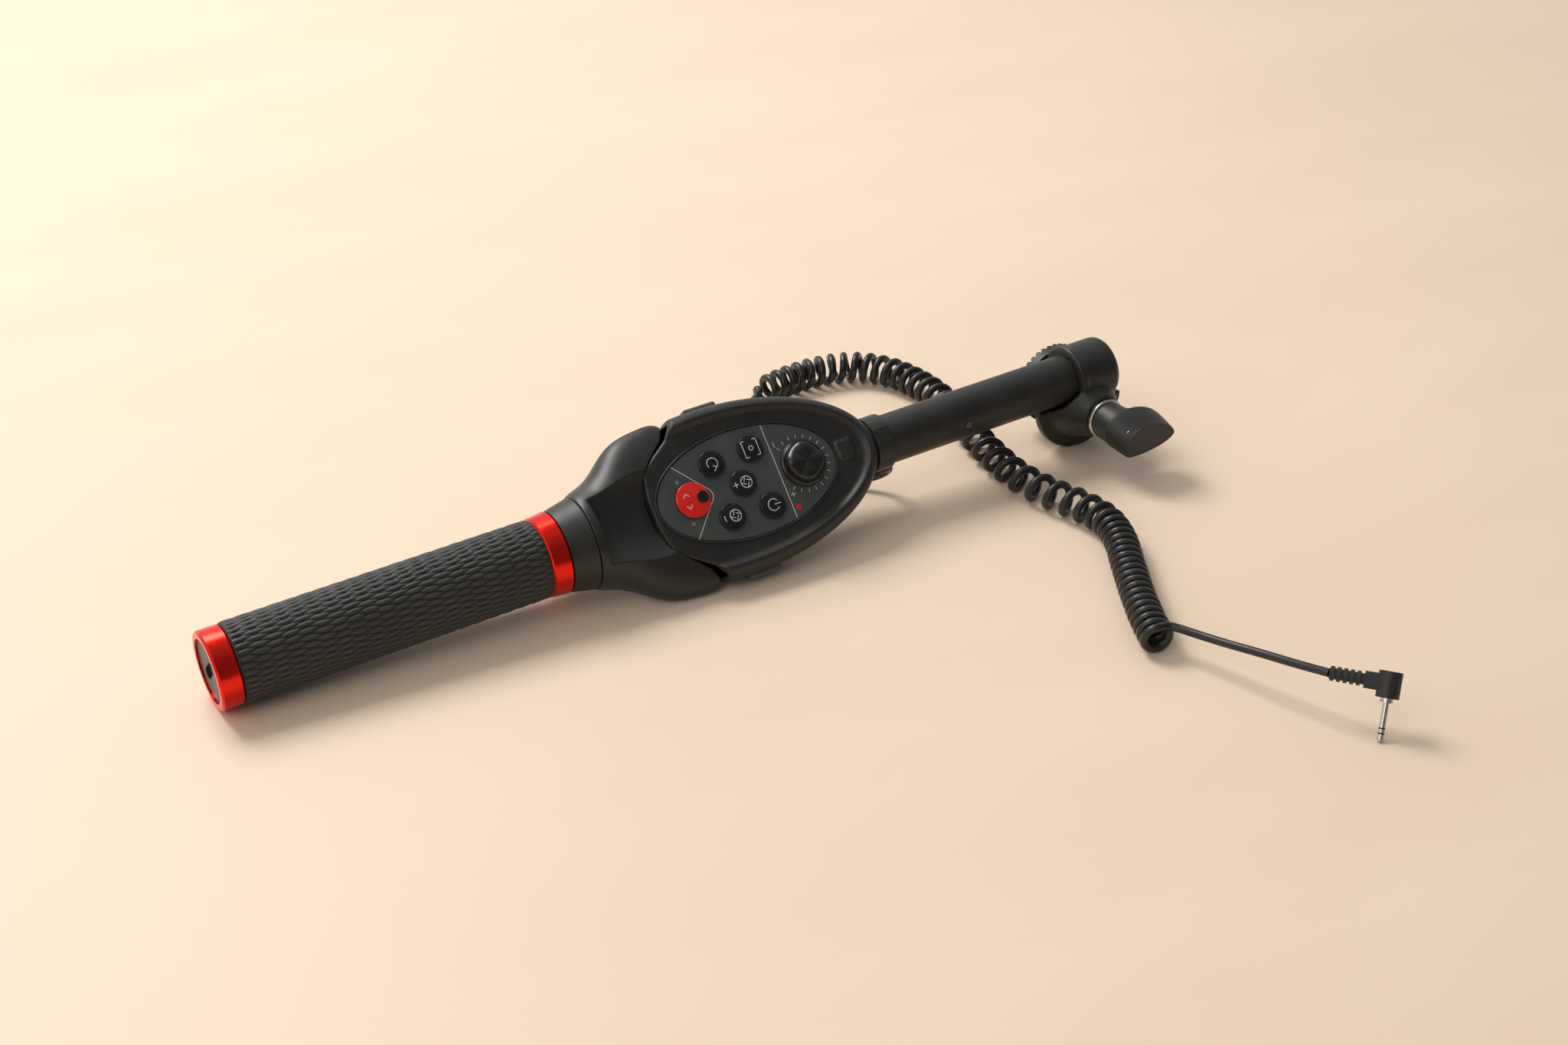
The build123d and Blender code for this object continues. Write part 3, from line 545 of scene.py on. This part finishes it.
def ring_of(name, points, faces, place, material, count, radius, first, last):
    """A plain mesh of copies of a small mesh, set round an arc between two angles in degrees."""
    item = new_piece(name, points, faces, Matrix(), material, smooth=False)
    tree = ring_tree(name, material)
    modifier = item.modifiers.new(name, "NODES")
    modifier.node_group = tree
    given = {"Count": count, "Radius": float(radius), "First angle": radians(first),
             "Step": radians((last - first) / (count - 1))}
    for socket in tree.interface.items_tree:
        if socket.name in given:
            modifier[socket.identifier] = given[socket.name]
    item.data = evaluated_mesh(item)
    item.modifiers.clear()
    item.data.transform(place)
    return item


dial_x = 261.8
tick_count, tick_radius, tick_sweep = 17, 11.2, 132
tick_length, tick_width = 1.7, 0.26
tick = [(0, -tick_width / 2, 0), (tick_length, -tick_width / 2, 0), (tick_length, tick_width / 2, 0),
        (0, tick_width / 2, 0)]
ticks = ring_of("dial_ticks", tick, [(0, 1, 2, 3)],
                handle @ Matrix.Translation((dial_x, 0, plate_top + ink_height)), white_ink,
                tick_count, tick_radius, -tick_sweep, tick_sweep)
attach(ticks, "handle")
sign_x, sign_y, sign_half, sign_width = 252.4, 11.3, 1.1, 0.3
minus_sign = [[(sign_x, sign_y - sign_half), (sign_x, sign_y + sign_half)]]
plus_sign = [[(sign_x, -sign_y + sign_half), (sign_x, -sign_y - sign_half)],
             [(sign_x - sign_half, -sign_y), (sign_x + sign_half, -sign_y)]]
points, faces = ribbon(minus_sign + plus_sign, sign_width, on_plate)
signs = new_piece("dial_signs", points, faces, handle, white_ink, smooth=False)
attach(signs, "handle")

# ---- push buttons ----------------------------------------------------------------------------
# Six polished domes come up through the plate, each on its own switch. Their symbols are printed
# in white. The record button is red, with a round black finger mark on the side near the dial.
button_spots = {  # x, y and the radius of the stem
    "return_button": (222.2, 12.0, 5.3), "iris_close_button": (222.2, -12.0, 5.3),
    "iris_open_button": (232.5, 0.0, 5.3), "focus_button": (241.3, 13.0, 5.3),
    "power_button": (241.3, -13.0, 5.3), "record_button": (208.4, 0.0, 7.1),
}
cap_base, cap_rim, dome_rise, cap_round = 10.9, 14.5, 0.5, 0.45
cap_shelf, cap_lip = 14.25, 0.55  # the cap's top is wider than its stem and clears the plate when pressed


def closed_tube(rings, sides):
    """A tube's quads and the two flat faces that close its ends."""
    return [*tube_faces(rings, sides), tuple(reversed(range(sides))),
            tuple(range((rings - 1) * sides, rings * sides))]


def lathe(profile, x, y, sides=72):
    """A surface of (radius, z) points turned about an upright line through (x, y)."""
    points = [(x + radius * cos(2 * pi * j / sides), y + radius * sin(2 * pi * j / sides), z)
              for radius, z in profile for j in range(sides)]
    return points, closed_tube(len(profile), sides)


def dome_profile(radius):
    """From the stem's base up its side, out under the top, round the rim and over the dome."""
    wide = radius + cap_lip
    rim = [(wide - cap_round * (1 - cos(radians(a))), cap_rim + cap_round * sin(radians(a)))
           for a in range(0, 75, 15)]
    flat = rim[-1][0]
    dome = [(flat * t, rim[-1][1] + dome_rise * (1 - t * t)) for t in (0.94, 0.8, 0.62, 0.42, 0.22, 0.03)]
    return [(radius, cap_base), (radius, cap_shelf), (wide, cap_shelf), *rim, *dome]


def on_dome(x0, y0, radius):
    """A function that gives the height of printed ink over a button's dome."""
    flat, base = dome_profile(radius)[7]  # the rim's last point, where the dome begins
    return lambda x, y: base + dome_rise * (1 - ((x - x0) ** 2 + (y - y0) ** 2) / flat ** 2) + ink_height


button_black = mottled("button_black", (0.004, 0.004, 0.005), (0.008, 0.008, 0.009), 0.006, (0.14, 0.20),
                       coat=0.2, coat_rough=0.08)
button_red = mottled("button_red", (0.76, 0.012, 0.006), (0.82, 0.018, 0.008), 0.006, (0.14, 0.20),
                     coat=0.2, coat_rough=0.08)

# Each symbol is a set of lines about the button's middle. Its top is at +x, as the dial is.
iris_x, iris_radius, iris_hole, blade_sweep = 0.9, 2.1, 0.9, 75
iris = [arc(iris_x, 0, iris_radius, 0, 360, 36)]
iris += [arc(iris_x, 0, iris_radius, angle, angle, 1)[:1]
         + arc(iris_x, 0, iris_hole, angle + blade_sweep, angle + blade_sweep, 1)[:1]
         for angle in range(0, 360, 90)]
iris_minus = [[(-3.2, -1.0), (-3.2, 1.0)]]
iris_plus = [*iris_minus, [(-4.2, 0), (-2.2, 0)]]
symbols = {
    "return_button": [arc(0, 0, 2.0, -60, 210, 30), [(-0.1, -2.9), (1.0, -1.75), (-0.1, -0.8)]],
    "iris_close_button": iris + iris_minus,
    "iris_open_button": iris + iris_plus,
    "focus_button": [*([(s * 1.6, -3.0), (s * 2.9, -3.0), (s * 2.9, 3.0), (s * 1.6, 3.0)] for s in (1, -1)),
                     arc(0, 0, 0.8, 0, 360, 24)],
    "power_button": [arc(0, 0, 2.1, 35, 325, 36), [(0.4, 0), (2.9, 0)]],
    "record_button": [[(-3.4, s * 1.5), (-2.3, s * 2.8), (-1.2, s * 1.5)] for s in (1, -1)],
}


def densified(stroke, gap=0.35):
    """A line with points added so that it can follow a dome."""
    dense = [stroke[0]]
    for (xa, ya), (xb, yb) in zip(stroke, stroke[1:]):
        count = max(1, round(hypot(xb - xa, yb - ya) / gap))
        dense += [(xa + (xb - xa) * i / count, ya + (yb - ya) * i / count) for i in range(1, count + 1)]
    return dense


symbol_width, symbol_scale = 0.36, 1.2
for name, (x, y, radius) in button_spots.items():
    paint = button_red if name == "record_button" else button_black
    points, faces = lathe(dome_profile(radius), x, y)
    cap = new_piece(name + "_cap", points, faces, handle, paint)
    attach(cap, name)
    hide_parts(name)
    strokes = [[(x + along * symbol_scale, y + beside * symbol_scale) for along, beside in densified(stroke)]
               for stroke in symbols[name]]
    points, faces = ribbon(strokes, symbol_width, on_dome(x, y, radius))
    mark = new_piece(name + "_symbol", points, faces, handle, white_ink)
    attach(mark, name)
# A red dot is printed beside the power button: a ring whose line is wide enough to fill it.
dot_x, dot_y, dot_radius, dot_width = 252.6, -17.2, 0.6, 1.3
points, faces = ribbon([arc(dot_x, dot_y, dot_radius, 0, 360, 24)], dot_width, on_plate)
dot = new_piece("red_dot", points, faces, handle, button_red, smooth=False)
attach(dot, "handle")
mark_x, mark_sides = 212.6, 40
mark_profile = [(2.6, 13.9), (2.6, 15.52), (2.5, 15.6), (2.3, 15.62), (1.7, 15.58), (0.9, 15.55), (0.05, 15.54)]
points, faces = lathe(mark_profile, mark_x, 0, mark_sides)
finger_mark = new_piece("record_finger_mark", points, faces, handle, button_black)
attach(finger_mark, "record_button")

# ---- speed dial ------------------------------------------------------------------------------
# A knob with four soft lobes that a finger turns, on a thin skirt. It is moulded in one piece and
# pressed on the potentiometer's shaft.
dial_low, dial_sides = 13.8, 128
dial_profile = [(10.1, 0.0), (10.1, 0.9), (9.9, 1.15), (9.3, 1.3), (9.2, 2.0), (9.1, 3.0), (8.95, 3.9),
                (8.6, 4.7), (8.0, 5.4), (7.2, 5.9), (6.2, 6.2), (5.0, 6.3), (3.8, 6.2), (2.4, 6.0),
                (1.0, 5.9), (0.05, 5.9)]
lobe_count, lobe_share, lobe_turn = 4, 0.05, 0.6
lobe_from, lobe_to, lobe_radius = 1.2, 3.7, 5  # the lobes grow over these heights and this radius
dip, dip_from, dip_to = 7, 3.5, 5.5  # the top dips between the lobes
dial_black = mottled("dial_black", (0.006, 0.006, 0.006), (0.010, 0.010, 0.010), 0.008, (0.24, 0.32), coat=0.1)
points = []
for radius, z in dial_profile:
    lobed = lobe_share * ramp(z, lobe_from, lobe_to) * ramp(radius, 0, lobe_radius)
    for j in range(dial_sides):
        turn = 2 * pi * j / dial_sides
        hollow = lobed * (cos(lobe_count * turn + lobe_turn) - 1)
        points.append((dial_x + radius * (1 + hollow) * cos(turn), radius * (1 + hollow) * sin(turn),
                       dial_low + z + dip * hollow * ramp(z, dip_from, dip_to)))
faces = closed_tube(len(dial_profile), dial_sides)
dial = new_piece("speed_dial_knob", points, faces, handle, dial_black)
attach(dial, "dial")
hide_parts("speed_dial")

# ---- side buttons, lamps and what is inside ---------------------------------------------------
# A grey rubber pad on each side of the head presses a switch under the board. Inside are the
# circuit board, its switches, the lamps, the rocker's spring and sensor, and the fasteners.
pad_grey = mottled("pad_grey", (0.075, 0.078, 0.078), (0.11, 0.113, 0.113), 0.004, (0.45, 0.6),
                   bump_size=0.00002)
board_green = mottled("board_green", (0.010, 0.085, 0.030), (0.016, 0.13, 0.045), 0.003, (0.25, 0.4),
                      bump_size=0.00004, grain=0.0008)
lamp_lens = mottled("lamp_lens", (0.16, 0.19, 0.20), (0.24, 0.27, 0.28), 0.001, (0.2, 0.3), coat=0.4)
dark_moulding = mottled("dark_moulding", (0.010, 0.010, 0.010), (0.02, 0.02, 0.02), 0.003, (0.35, 0.5))
turned_steel = mottled("turned_steel", (0.32, 0.32, 0.32), (0.46, 0.46, 0.46), 0.002, (0.22, 0.36),
                       metal=1.0, stretch=(1, 6, 6))
finish(pad_grey, "far_side_button", "near_side_button")
finish(board_green, "circuit_board")
finish(lamp_lens, "status_lamps")
finish(dark_moulding, "tact_switches", "side_switches", "rocker_sensor")
finish(turned_steel, "spindle", "spindle_nut", "spindle_screw", "rocker_spring", "head_screws",
       "dial_potentiometer", "bar_set_screw", "swivel_washer", "swivel_screw", "clamp_stud", "knob_insert")

# ---- bar and rosette --------------------------------------------------------------------------
# The bar is an aluminium tube with a fine black powder coat. The toothed rosette that meets the
# tripod's arm has the same coat.
bar_coat = mottled("bar_coat", (0.013, 0.013, 0.012), (0.020, 0.020, 0.018), 0.02, (0.42, 0.55),
                   bump_size=0.00004, grain=0.0006)
finish(bar_coat, "pan_bar", "rosette")

# ---- lever knob ------------------------------------------------------------------------------
# A leaf-shaped lever on a short round neck, moulded round a steel nut. A bright band and a black
# spacer lie between it and the clamp.
stud_place = Vector(joints["knob_turn"]["pos_m"])
stud_line = Vector(joints["knob_turn"]["axis"])
lever_line = (bar_line - bar_line.dot(stud_line) * stud_line).normalized()
# The knob's frame has x along the bar, towards the lever's tip, and z out along the stud.
knob = millimetre_frame(stud_place, lever_line, stud_line.cross(lever_line), stud_line)


def along_stud(node):
    """Where a CAD node begins and ends along the stud."""
    heights = [(knob.inverted() @ vertex.co).z for vertex in nodes[node].data.vertices]
    return min(heights), max(heights)


knob_low, knob_high = along_stud("knob_lever")
neck_radius, neck_length, corners = 9.1, 10.6, 14
neck = [(neck_radius * cos(2 * pi * (i + 0.5) / corners), neck_radius * sin(2 * pi * (i + 0.5) / corners))
        for i in range(corners)]
leaf_back = [(23.4, -1.2), (19.0, 4.2), (12.5, 8.4), (4.6, 9.9), (-2.6, 9.3), (-6.8, 6.5), (-9.2, 2.6),
             (-9.2, -2.4), (-7.2, -6.6), (-3.0, -8.9), (3.4, -9.4), (10.5, -8.8), (16.5, -7.4), (21.8, -4.9)]
leaf_front = [(22.4, -2.2), (18.0, 2.3), (11.6, 5.2), (5.6, 6.2), (0.6, 5.4), (-3.2, 2.6), (-5.2, -0.8),
              (-6.2, -4.2), (-6.4, -7.4), (-3.4, -8.4), (3.0, -8.6), (9.6, -8.0), (15.4, -6.9), (20.6, -4.8)]
leaf_start = knob_low + neck_length
sections = [  # the place along the stud, the outline and its scale
    (knob_low, neck, 0.97), (knob_low + 0.5, neck, 1.0), (leaf_start - 0.8, neck, 1.0),
    (leaf_start, leaf_back, 0.99), (leaf_start + 0.9, leaf_back, 1.0),
    (knob_high - 1.0, leaf_front, 1.0), (knob_high, leaf_front, 0.97),
]
points = [(x * share, y * share, z) for z, outline, share in sections for x, y in outline]
lever = new_piece("lever_moulding", points, closed_tube(len(sections), corners), knob, case_plastic)
# The front face keeps a crisp edge where the rest is rounded off.
front_crease, first_of_front = 0.75, (len(sections) - 1) * corners
creases = lever.data.attributes.new("crease_edge", "FLOAT", "EDGE")
creases.data.foreach_set("value", [front_crease if min(edge) >= first_of_front else 0.0
                                   for edge in lever.data.edge_keys])
rounded = lever.modifiers.new("rounded", "SUBSURF")
rounded.levels = rounded.render_levels = 4
lever.data = evaluated_mesh(lever)
lever.modifiers.clear()
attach(lever, "knob")
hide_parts("knob_lever")


def washer(name, low, high, radius, material):
    """A flat disc round the stud, with chamfered edges, that turns with the knob."""
    chamfer = 0.25
    profile = [(radius - chamfer, low), (radius, low + chamfer), (radius, high - chamfer),
               (radius - chamfer, high)]
    points, faces = lathe(profile, 0, 0)
    disc = new_piece(name, points, faces, knob, material)
    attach(disc, "knob")
    return disc


ring_low, ring_high = along_stud("knob_ring")
band_length, band_radius, spacer_radius = 1.2, 9.3, 8.8
band = washer("knob_band", ring_high - band_length, ring_high, band_radius, plug_steel)
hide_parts("knob_ring")
washer("knob_spacer", ring_low, ring_high - band_length, spacer_radius, case_plastic)
